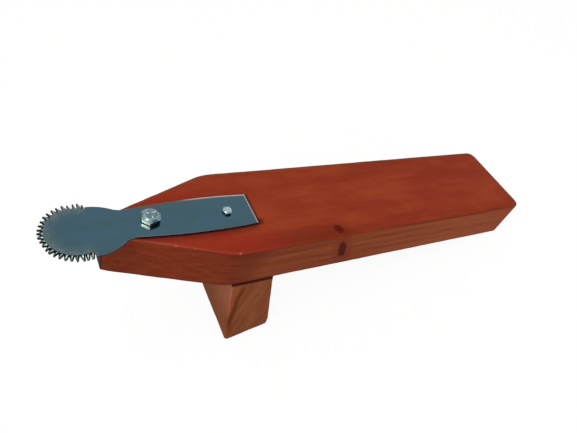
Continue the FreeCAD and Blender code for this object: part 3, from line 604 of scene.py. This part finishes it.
def make_front_foot(finish):
    """A sawn block with softened edges. Its top meets the board and its sole lies on the floor."""
    rear_lean = math.tan(FOOT_REAR_RAKE)
    rear_z = FOOT_HEIGHT - (SOLE_LENGTH / 2 - FOOT_TOP_FRONT) * math.tan(TILT)
    rear_z /= 1 + rear_lean * math.tan(TILT)
    corners = np.array([[(-SOLE_LENGTH / 2, 0), (FOOT_TOP_FRONT, FOOT_HEIGHT)],
                        [(SOLE_LENGTH / 2, 0), (SOLE_LENGTH / 2 + rear_z * rear_lean, rear_z)]])
    ends = np.array([(-math.cos(FOOT_FRONT_RAKE), math.sin(FOOT_FRONT_RAKE)),
                     (math.cos(FOOT_REAR_RAKE), -math.sin(FOOT_REAR_RAKE))])
    caps = np.array([(0, -1), (math.sin(TILT), math.cos(TILT))])
    (a, ea), (b, eb), (c, ec), faces = block_skin(
        np.linspace(0, 1, 16), np.linspace(-1, 1, 30), np.linspace(0, 1, 30))

    edge = np.stack([a * 52, b * 50, c * 100], axis=1)
    r = FOOT_EDGE_ROUND + (SOLE_ROUND - FOOT_EDGE_ROUND) * np.clip(1 - c / 0.1, 0, 1)
    r -= (FOOT_EDGE_ROUND - JOINT_ARRIS) * np.clip((c - 0.9) / 0.1, 0, 1)
    r = np.clip(r * (1 + 0.35 * wave(edge, 16, 5.5)), 0.5, 4.5)
    core, way = np.zeros((len(a), 3)), np.zeros((len(a), 3))
    for i in range(2):
        for j in range(2):
            pull = (ends[i] + caps[j]) / (1 + ends[i] @ caps[j])
            share = (a if i else 1 - a) * (c if j else 1 - c)
            core[:, ::2] += share[:, None] * (corners[i, j] - r[:, None] * pull)
        for rims, sides in ((ea, ends), (ec, caps)):
            way[:, ::2] += np.clip(rims if i else -rims, 0, 1)[:, None] * sides[i]
    core[:, 1], way[:, 1] = b * (BOARD_WIDTH / 2 - r), eb
    way = unit(way)
    places = core + way * r[:, None]
    hollow = 0.14 + 0.14 * wave(places, 34, 3.3)
    places -= way * (hollow * np.clip(places[:, 2] / 4, 0, 1) * (ec <= 0))[:, None]
    return new_piece("front_foot_sawn", places, faces, ON_FLOOR, [finish])


# ---- the blade ----

def arc(centre, radius, first, last, count):
    """Points along an arc between two angles."""
    angles = np.linspace(first, last, count)
    return [(centre[0] + radius * math.cos(angle), centre[1] + radius * math.sin(angle)) for angle in angles]


def blade_curves(sign):
    """The curves of one side of the plate: its dip, bow and rise, and the corners that they join, all for +Y."""
    dip = np.array([WAIST_SETBACK - sign * WAIST_SKEW / 2, WAIST_HALF + WAIST_RADIUS + sign * STRIP_ASIDE])
    collar = np.array([math.cos(COLLAR_ANGLE), math.sin(COLLAR_ANGLE)]) * (ROOT_RADIUS + COLLAR_STEP)
    collar[1] += sign * COLLAR_ASIDE
    span = dip - collar
    rise = (span[0] ** 2 + span[1] ** 2 - WAIST_RADIUS ** 2) / (2 * (WAIST_RADIUS - span[1]))

    corner = np.array([TAIL_AT, TAIL_HALF + sign * STRIP_ASIDE])
    gap, reach = math.dist(corner, dip), BOW_RADIUS + WAIST_RADIUS
    step = (corner - dip) / gap
    along = (reach ** 2 - BOW_RADIUS ** 2 + gap ** 2) / (2 * gap)
    off = math.sqrt(reach ** 2 - along ** 2)
    bow_centre = dip + along * step + off * step[::-1] * (1, -1)
    return dip, bow_centre, collar - (0, rise), rise, corner, collar


def blade_side(sign):
    """One side of the plate without its teeth, from the tail corner to the front of the head."""
    dip, bow_centre, rise_centre, rise, corner, collar = blade_curves(sign)

    def turn_of(centre, point):
        return math.atan2(point[1] - centre[1], point[0] - centre[0])

    to_bow, to_rise = turn_of(dip, bow_centre), turn_of(dip, rise_centre)
    half = arc(bow_centre, BOW_RADIUS, turn_of(bow_centre, corner), to_bow + math.pi, 60)
    half += arc(dip, WAIST_RADIUS, to_bow, to_rise, 12)[1:]
    half += arc(rise_centre, rise, to_rise + math.pi, math.pi / 2, 20)[1:]
    half += arc((0, 0), ROOT_RADIUS, turn_of((0, 0), collar), math.pi, 70)
    return [(x, sign * y) for x, y in half]


def inset(outline, distance):
    """The outline drawn in by a distance, without the corners where it would fold over itself."""
    points = np.array(outline)
    along = np.roll(points, -1, axis=0) - np.roll(points, 1, axis=0)
    moved = points + unit(np.stack([-along[:, 1], along[:, 0]], axis=1)) * distance
    gaps = np.min(np.linalg.norm(moved[:, None] - points[None], axis=2), axis=1)
    return [tuple(point) for point, gap in zip(moved, gaps) if gap > distance * 0.93]


def blade_top(x, y, from_edge):
    """The height of the plate's upper face: level, ground down inside the teeth, its edges broken."""
    ground = 0
    if x < ROOT_RADIUS * math.cos(COLLAR_ANGLE):
        ground = BEVEL_DEPTH * min(1, max(0, (math.hypot(x, y) - ROOT_RADIUS + BEVEL_WIDTH) / BEVEL_WIDTH))
    return PLATE - max(ground, ARRIS_DEPTH * max(0, 1 - from_edge / ARRIS_WIDTH))


def make_plate(face, arris, cut):
    """The blade's plate, with both holes, a ground rim and edges broken by a file."""
    outline = blade_side(1) + blade_side(-1)[-2::-1]
    rim = arc((0, 0), ROOT_RADIUS - BEVEL_WIDTH, COLLAR_ANGLE + 0.05, 2 * math.pi - COLLAR_ANGLE - 0.05, 60)
    holes = [((HEAD_REACH - CLAMP_REACH, -HEAD_ASIDE), CLAMP_RADIUS + HOLE_GAP),
             ((HEAD_REACH + SCREW_SETBACK, SCREW_ASIDE - HEAD_ASIDE), SCREW_RADIUS + HOLE_GAP)]
    rounds = [arc(centre, radius, 0, 2 * math.pi, 37)[:-1] for centre, radius in holes]
    points, edges = [], []
    for line in (outline, inset(outline, ARRIS_WIDTH), *rounds, rim):
        start, count = len(points), len(line)
        points += [Vector(point) for point in line]
        edges += [(start + at, start + (at + 1) % count) for at in range(count if line is not rim else count - 1)]
    points += [Vector((x, y)) for x in np.arange(-20, TAIL_AT - 2, 4) for y in range(-20, 21, 4)]
    spots, _, triangles, *_ = geometry.delaunay_2d_cdt(points, edges, [], 1, 1e-4)
    spots = np.array([tuple(spot) for spot in spots])

    def in_hole(middle):
        return any(math.dist(middle, centre) < radius for centre, radius in holes)

    kept = [t for t in triangles if not in_hole(spots[list(t)].mean(axis=0))]
    used, kept = np.unique(kept, return_inverse=True)
    spots, count = spots[used], len(used)
    nearest = np.min(np.linalg.norm(spots[:, None] - np.array(outline)[None], axis=2), axis=1)
    top = [(x, y, blade_top(x, y, gap)) for (x, y), gap in zip(spots, nearest)]
    places = top + [(x, y, 0) for x, y in spots]
    faces, numbers, directed = [], [], {}
    for t in kept.reshape(-1, 3).tolist():
        a, b, c = (spots[corner] for corner in t)
        if (b[0] - a[0]) * (c[1] - a[1]) - (b[1] - a[1]) * (c[0] - a[0]) < 0:
            t = t[::-1]
        highest = max(top[corner][2] for corner in t)
        on_arris = min(nearest[t]) < 0.01 and max(nearest[t]) < ARRIS_WIDTH * 1.6 and highest > PLATE - 0.3
        faces += [t, [corner + count for corner in t[::-1]]]
        numbers += [1 if on_arris else 0, 0]
        directed.update({(t[at], t[(at + 1) % 3]): True for at in range(3)})
    for first, second in directed:
        if (second, first) not in directed:
            faces.append([second, first, first + count, second + count])
            numbers.append(2)
    return new_piece("blade_plate", places, faces, ON_BLADE, [face, arris, cut], numbers, crease=12)


class Pattern(Graph):
    """A Geometry Nodes tree with a named input for each of its sizes, counts and materials."""

    def __init__(self, name, **sizes):
        super().__init__(bpy.data.node_groups.new(name, "GeometryNodeTree"))
        self.sizes = {label.replace("_", " "): size for label, size in sizes.items()}
        for label, size in self.sizes.items():
            kind = "Material" if isinstance(size, bpy.types.Material) else type(size).__name__.title()
            self.tree.interface.new_socket(label, in_out="INPUT", socket_type=f"NodeSocket{kind}")
        self.tree.interface.new_socket("Mesh", in_out="OUTPUT", socket_type="NodeSocketGeometry")
        self.entry = self.tree.nodes.new("NodeGroupInput")

    def __getitem__(self, label):
        return Value(self, self.entry.outputs[label])

    def direction(self, turn):
        """How far along X and along Y a step of 1 goes in the direction of a turn."""
        return self.maths("COSINE", turn), self.maths("SINE", turn)

    def coated(self, shape, label, selection=True):
        """The shape in the material of an input, where the selection holds."""
        return self.node("GeometryNodeSetMaterial",
                         {"Geometry": shape, "Selection": selection, "Material": self[label]})

    def real(self, shape):
        return self.node("GeometryNodeRealizeInstances", (shape,))

    def grow(self, name, last, matrix):
        """Runs the tree up to its last node and turns the result into a plain mesh piece in its place."""
        self.end("NodeGroupOutput", last)
        piece = add_object(name, bpy.data.meshes.new(name))
        modifier = piece.modifiers.new(name, "NODES")
        modifier.node_group = self.tree
        for socket in self.tree.interface.items_tree:
            if socket.in_out == "INPUT":
                modifier[socket.identifier] = self.sizes[socket.name]
        settled = piece.evaluated_get(bpy.context.evaluated_depsgraph_get())
        mesh = bpy.data.meshes.new_from_object(settled)
        piece.modifiers.clear()
        mesh.transform(matrix)
        mesh.name = name
        piece.data = mesh
        return piece


def make_teeth(face, cut):
    """Narrow tabs round the head, each drawn out to a point, bent down and twisted by a slightly different turn."""
    pitch = (2 * math.pi - 2 * COLLAR_ANGLE) / TOOTH_COUNT
    teeth = Pattern(
        "Blade teeth", Count=TOOTH_COUNT, Root_radius=ROOT_RADIUS, Level=-0.22, Bury=1.2, Reach=5.1, Drop=1.5,
        Twist=1.15, Width=3.4, Thickness=1.9, Tip_share=0.7, First_turn=COLLAR_ANGLE - pitch * 0.2,
        Pitch=pitch * 1.03, Lean=1.2, Rear_share=0.26, Far_share=0.21, Front_roll=-0.2, Near_roll=0.35,
        Front_width=0.3, Unevenness=1.0, Seed=11, Face=face, Cut=cut)
    node = teeth.node
    ends = teeth.vector(teeth["Bury"] * -1), teeth.vector(teeth["Reach"])
    line = node("GeometryNodeCurvePrimitiveLine", ends)
    line = node("GeometryNodeResampleCurve", {"Curve": line, "Count": TOOTH_STEPS + 1})
    along = node("GeometryNodeSplineParameter")
    bent = node("GeometryNodeSetPosition",
                {"Geometry": line, "Offset": teeth.vector(0, 0, along ** 1.7 * teeth["Drop"] * -1)})
    level = node("GeometryNodeSetCurveNormal", (bent,), mode="Z_UP")
    turned = node("GeometryNodeSetCurveTilt", {"Curve": level, "Tilt": along ** 0.8 * teeth["Twist"]})
    share = 1 - along * (1 - teeth["Tip share"])
    drawn = node("GeometryNodeSetCurveRadius", {"Curve": turned, "Radius": share})
    section = node("GeometryNodeCurvePrimitiveQuadrilateral", (teeth["Width"], teeth["Thickness"]))
    tooth = node("GeometryNodeCurveToMesh",
                 {"Curve": drawn, "Profile Curve": section, "Scale": share, "Fill Caps": True})

    def uneven(shift, reach):
        chance = node("FunctionNodeRandomValue", {2: -reach, 3: reach, 8: teeth["Seed"] + shift}, out=1)
        return chance * teeth["Unevenness"]

    number = node("GeometryNodeInputIndex")
    turn = teeth["First turn"] + number * teeth["Pitch"]
    back, far = teeth.direction(turn)
    spot = teeth.vector(back * teeth["Root radius"], far * teeth["Root radius"], teeth["Level"])
    points = node("GeometryNodePoints", {"Count": teeth["Count"], "Position": spot})
    forward = (back | 0) * far * teeth["Lean"]
    to_front, to_near = back * -1 | 0, far * -1 | 0
    roll = to_front * teeth["Front roll"] + to_near * teeth["Near roll"]
    facing = node("FunctionNodeEulerToRotation",
                  (teeth.vector(roll + uneven(1, 0.22), uneven(2, 0.1), turn + forward + uneven(3, 0.08)),))
    longer = back * teeth["Rear share"] + far * teeth["Far share"]
    stretch = teeth.vector(1 + longer + uneven(4, 0.05), 1 + to_front * teeth["Front width"], 1)
    ring = node("GeometryNodeInstanceOnPoints",
                {"Points": points, "Instance": tooth, "Rotation": facing, "Scale": stretch})
    # Every other side of each tooth takes the Cut finish, painted dark as its shaded side.
    face_number = teeth.maths("MODULO", teeth.maths("MODULO", number, TOOTH_STEPS * 4 + 2), 4)
    side = teeth.maths("COMPARE", teeth.maths("MODULO", face_number, 2), 1, 0.1)
    return teeth.grow("blade_teeth", teeth.coated(teeth.coated(teeth.real(ring), "Face"), "Cut", side), ON_BLADE)


# ---- the fasteners ----

def spin(name, column, matrix, finish, first_turn=0, loop=False, steps=96, crease=28):
    """A piece turned about its own Z axis. column gives the radius and height of each point in one direction."""
    turns = [math.radians(first_turn) + 2 * math.pi * step / steps for step in range(steps)]
    places = [(r * math.cos(turn), r * math.sin(turn), z) for turn in turns for r, z in column(turn)]
    count = len(places) // steps
    faces = []
    for step in range(steps):
        here, ahead = step * count, (step + 1) % steps * count
        for at in range(count if loop else count - 1):
            above = (at + 1) % count
            faces.append([here + at, ahead + at, ahead + above, here + above])
    return new_piece(name, *merged(places, faces), matrix, [finish], crease=crease)


def hexagon(flats, turn, first_turn):
    """How far a hexagon with softened corners reaches in a direction."""
    aside = (math.degrees(turn) - first_turn) % 60 - 30
    return min(flats / 2 / math.cos(math.radians(aside)), flats / math.sqrt(3) * 0.985)


def crowned(reach, flats, level, share, way=1):
    """The soft end of a hexagon whose corners are turned off, from its side in to the flat."""
    ring = flats * share / 2
    low = level - way * max(0, reach - ring) * math.tan(math.radians(CROWN_ANGLE))
    inner = min(ring, reach - 0.3)
    return [(reach, low - way * 0.25), (reach - 0.1, low - way * 0.04), (inner + 0.12, level - way * 0.07),
            (inner - 0.25, level)]


def make_headed(name, flats, head, first_turn, shank, matrix, finish):
    """A hexagon head with a washer face, a crown and a dished top, on a shank given by its own points."""
    face, ring, inner, top = 0.6, flats * CROWN_SHARE / 2, flats * HEAD_FLAT_SHARE / 2, head - 0.16

    def column(turn):
        reach = hexagon(flats, turn, first_turn)
        side = [(ring, 0), (ring, face), (reach - 0.12, face), (reach, face + 0.15)]
        flat = [(inner * 0.8, top), (inner * 0.68, top - 0.14), (inner * 0.35, top - 0.2), (0, top - 0.2)]
        return [*shank, *side, *crowned(reach, flats, top, HEAD_FLAT_SHARE), *flat]

    return spin(name, column, matrix, finish, first_turn, crease=20)


def make_nut(matrix, finish):
    """A hexagon nut, turned off at both faces, its bore opened at both ends."""
    bore = CLAMP_RADIUS + 0.05

    def column(turn):
        reach = hexagon(CLAMP_FLATS, turn, NUT_TURN)
        upper = crowned(reach, CLAMP_FLATS, 0, CROWN_SHARE)
        lower = crowned(reach, CLAMP_FLATS, -NUT_HEIGHT, CROWN_SHARE, -1)
        return [(bore, -0.6), (bore + 0.5, 0), *upper[::-1], *lower, (bore + 0.5, -NUT_HEIGHT),
                (bore, -NUT_HEIGHT + 0.6)]

    return spin("clamp_nut_turned", column, matrix, finish, NUT_TURN, loop=True)


def make_washer(matrix, finish):
    """A pressed washer: one rim rounded over, the other sharp."""
    hole, rim, low = CLAMP_RADIUS + HOLE_GAP, WASHER_RADIUS, -WASHER_THICKNESS
    section = [(hole, low + 0.2), (hole + 0.2, low), (rim - 0.5, low), (rim - 0.15, low + 0.15), (rim, low + 0.5),
               (rim, -0.4), (rim - 0.4, 0), (hole, 0)]
    return spin("clamp_washer_pressed", lambda turn: section, matrix, finish, loop=True, steps=72)


def make_thread(matrix, finish):
    """The bolt's rolled thread, where it stands out below the nut: a ridge wound round the core."""
    thread = Pattern("Bolt thread", Turns=(CLAMP_PROJECTION + 2) / THREAD_PITCH, Pitch=THREAD_PITCH,
                     Radius=CLAMP_RADIUS, Depth=THREAD_DEPTH * 0.8, Finish=finish)
    node, middle = thread.node, thread["Radius"] - thread["Depth"]
    helix = node("GeometryNodeCurveSpiral",
                 {"Resolution": 32, "Rotations": thread["Turns"], "Start Radius": middle, "End Radius": middle,
                  "Height": thread["Turns"] * thread["Pitch"]})
    helix = node("GeometryNodeSetCurveNormal", (helix,), mode="Z_UP")
    ridge = node("GeometryNodeCurvePrimitiveCircle", {"Resolution": 4, "Radius": thread["Depth"]})
    wound = node("GeometryNodeCurveToMesh", {"Curve": helix, "Profile Curve": ridge, "Fill Caps": True})
    return thread.grow("clamp_thread", thread.coated(thread.real(wound), "Finish"), matrix)


def make_head_marks(name, flat, turn, level, matrix, finish):
    """Three short raised ridges on a head's flat top, set evenly round it."""
    marks = Pattern(f"Ridges of {name}", Count=3, Ring=flat * 0.56, Length=flat * 0.46, Width=flat * 0.19,
                    Height=0.3, Turn=math.radians(turn), Level=level - 0.15, Finish=finish)
    node = marks.node
    bar = node("GeometryNodeMeshCube", (marks.vector(marks["Length"], marks["Width"], marks["Height"]),))
    angle = marks["Turn"] + node("GeometryNodeInputIndex") * (2 * math.pi) / marks["Count"]
    along, aside = marks.direction(angle)
    spot = marks.vector(along * marks["Ring"], aside * marks["Ring"], marks["Level"])
    points = node("GeometryNodePoints", {"Count": marks["Count"], "Position": spot})
    facing = node("FunctionNodeEulerToRotation", (marks.vector(0, 0, angle),))
    bars = node("GeometryNodeInstanceOnPoints", {"Points": points, "Instance": bar, "Rotation": facing})
    return marks.grow(name, marks.coated(marks.real(bars), "Finish"), matrix)


# ---- assembling ----

pale_dowel = dowel_wood()
broken_edge = plain_metal("Filed edge", (92, 96, 96), (128, 120, 110), 4, 0.42, 0.02, painted_highlight=True)
cut_edge = plain_metal("Sheared edge", (30, 36, 38), (62, 72, 76), 3, 0.5, 0.03)
tooth_face = plain_metal("Ground tooth", (96, 110, 110), (142, 154, 152), 1.6, 0.3, 0.02)
# The teeth's sawn sides are painted dark as the shaded side of each twisted tooth.
tooth_shade = plain_metal("Sawn tooth", (17, 24, 26), (46, 55, 58), 2, 0.5, 0.03)
clamp_flat, screw_flat = CLAMP_FLATS * HEAD_FLAT_SHARE / 2, SCREW_FLATS * HEAD_FLAT_SHARE / 2
zinc = zinc_plate("Zinc plate", CLAMP_HEAD, (-CLAMP_REACH, 0), clamp_flat, (92, 116, 124), (122, 144, 150))
screw_zinc = zinc_plate("Zinc plate of the screw", SCREW_HEAD, (SCREW_SETBACK, SCREW_ASIDE), screw_flat,
                        (126, 150, 158), (166, 186, 192))

core = CLAMP_RADIUS - THREAD_DEPTH
threaded = CLAMP_PROJECTION + 3 - CLAMP_LENGTH
clamp_shank = [(0, -CLAMP_LENGTH), (core - 0.6, -CLAMP_LENGTH), (core, 0.8 - CLAMP_LENGTH), (core, threaded),
               (CLAMP_RADIUS, threaded + 0.8), (CLAMP_RADIUS, 0)]
screw_shank = [(0, -SCREW_LENGTH), (0.5, -SCREW_LENGTH), (SCREW_RADIUS, SCREW_TIP - SCREW_LENGTH), (SCREW_RADIUS, 0)]
at_clamp, at_screw = on_board(-CLAMP_REACH, PLATE), on_board(SCREW_SETBACK, PLATE, SCREW_ASIDE)

for piece, name, slot in (
        (make_seat_board(seat_wood()), "seat_board", "seat_wood"),
        (make_front_foot(foot_wood()), "front_foot", "foot_wood"),
        (make_plate(rolled_steel(), broken_edge, cut_edge), "grater_blade", "blade_steel"),
        (make_teeth(tooth_face, tooth_shade), None, "blade_steel"),
        (make_headed("clamp_bolt_turned", CLAMP_FLATS, CLAMP_HEAD, CLAMP_TURN, clamp_shank, at_clamp, zinc),
         "clamp_bolt", "zinc_plate"),
        (make_headed("coach_screw_turned", SCREW_FLATS, SCREW_HEAD, SCREW_TURN, screw_shank, at_screw, screw_zinc),
         "coach_screw", "zinc_plate"),
        (make_washer(on_board(-CLAMP_REACH, -BOARD_THICKNESS), zinc), "clamp_washer", "zinc_plate"),
        (make_nut(on_board(-CLAMP_REACH, -BOARD_THICKNESS - WASHER_THICKNESS), zinc), "clamp_nut", "zinc_plate"),
        (make_thread(on_board(-CLAMP_REACH, PLATE - CLAMP_LENGTH + 0.9), zinc), None, "zinc_plate"),
        (make_head_marks("clamp_marks", clamp_flat, 150, CLAMP_HEAD, at_clamp, zinc), None, "zinc_plate"),
        (make_head_marks("screw_marks", screw_flat, 130, SCREW_HEAD, at_screw, screw_zinc), None, "zinc_plate")):
    if name:
        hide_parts(name)
    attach(piece, "root")
for name in ("foot_dowel_near", "foot_dowel_far"):
    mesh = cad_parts[name].data
    mesh.materials.clear()
    mesh.materials.append(pale_dowel)


# ---- the studio ----

FLOOR_REACH, FLOOR_WHITE, WORLD_LIGHT = 6.0, 0.93, 0.66
CARD_WAY, CARD_AWAY, CARD_HALF = Vector((0.66, -0.50, 0.56)).normalized(), 1.5, 0.5
LENS, CAMERA_PLACE, CAMERA_TURN = 30.765, (-0.06607, -0.27342, 0.52114), (37.1166, -1.6135, -24.5547)


def add_sheet(name, half, put, material):
    """A square sheet, its corners put in place in metres."""
    mesh = bpy.data.meshes.new(name)
    mesh.from_pydata([put(Vector((x * half, y * half, 0))) for x, y in ((-1, -1), (1, -1), (1, 1), (-1, 1))],
                     [], [(0, 1, 2, 3)])
    mesh.materials.append(material)
    return add_object(name, mesh)


def light_tree(owner):
    """The emptied tree of a material or world, and a mask for what the camera, a mirror or glass sees."""
    owner.use_nodes = True
    graph = Graph(owner.node_tree)
    graph.tree.nodes.clear()
    rays = graph.node("ShaderNodeLightPath")
    return graph, rays | rays.other(3) | rays.other(6)


def make_floor():
    """A plain white floor, which looks white to the camera and in reflections but keeps the shadows."""
    material = bpy.data.materials.new("White floor")
    graph, seen = light_tree(material)
    matt = graph.node("ShaderNodeBsdfDiffuse", {"Color": (1, 1, 1, 1)})
    white = graph.node("ShaderNodeEmission", {"Color": (1, 1, 1, 1), "Strength": 1})
    graph.end("ShaderNodeOutputMaterial", graph.node("ShaderNodeMixShader", (seen * FLOOR_WHITE, matt, white)))
    return add_sheet("floor", FLOOR_REACH, lambda corner: corner, material)


def make_dark_card():
    """A dark blue card that only reflections see, for the dark sides of the bolt heads."""
    material = bpy.data.materials.new("Dark card")
    material.use_nodes = True
    shader = material.node_tree.nodes["Principled BSDF"]
    shader.inputs["Base Color"].default_value = (0.15, 0.36, 0.46, 1)
    shader.inputs["Specular IOR Level"].default_value = 0
    centre, turn = Vector((-0.03, 0, 0.18)) + CARD_WAY * CARD_AWAY, CARD_WAY.to_track_quat("Z", "Y")
    card = add_sheet("dark card", CARD_HALF, lambda corner: centre + turn @ corner, material)
    card.visible_camera = card.visible_diffuse = card.visible_shadow = False
    return card


def make_world():
    """Even light from all round, white where the camera or a reflection sees it."""
    world = bpy.context.scene.world = bpy.data.worlds.new("Studio")
    graph, seen = light_tree(world)
    strength = seen * (1 - WORLD_LIGHT) + WORLD_LIGHT
    graph.end("ShaderNodeOutputWorld", graph.node("ShaderNodeBackground", ((1, 1, 1, 1), strength)))


def add_lamp(name, place, aim, size, power, colour=(1, 1, 1)):
    lamp = bpy.data.lights.new(name, "AREA")
    lamp.shape, lamp.size, lamp.energy, lamp.color = "DISK", size, power, colour
    holder = add_object(name, lamp)
    holder.location = place
    holder.rotation_euler = (Vector(aim) - Vector(place)).to_track_quat("-Z", "Y").to_euler()
    return holder


def add_camera():
    camera = bpy.data.cameras.new("camera")
    camera.lens, camera.sensor_width, camera.sensor_fit = LENS, 36, "HORIZONTAL"
    camera.clip_start, camera.clip_end = 0.02, 50
    holder = bpy.context.scene.camera = add_object("camera", camera)
    holder.location = CAMERA_PLACE
    holder.rotation_euler = [math.radians(turn) for turn in CAMERA_TURN]


make_floor()
make_dark_card()
make_world()
add_lamp("key", (-0.774, -0.521, 1.878), (-0.06, 0, 0.18), 0.32, 8.8, (1, 0.76, 0.6))
add_lamp("overhead", (-0.30, -0.12, 2.08), (-0.06, 0, 0.18), 1.1, 10.8)
add_lamp("fill", (0.5, -1.9, 0.9), (0.1, 0, 0.1), 1.6, 9).visible_glossy = False
add_camera()
bpy.context.scene.view_settings.view_transform = "Standard"
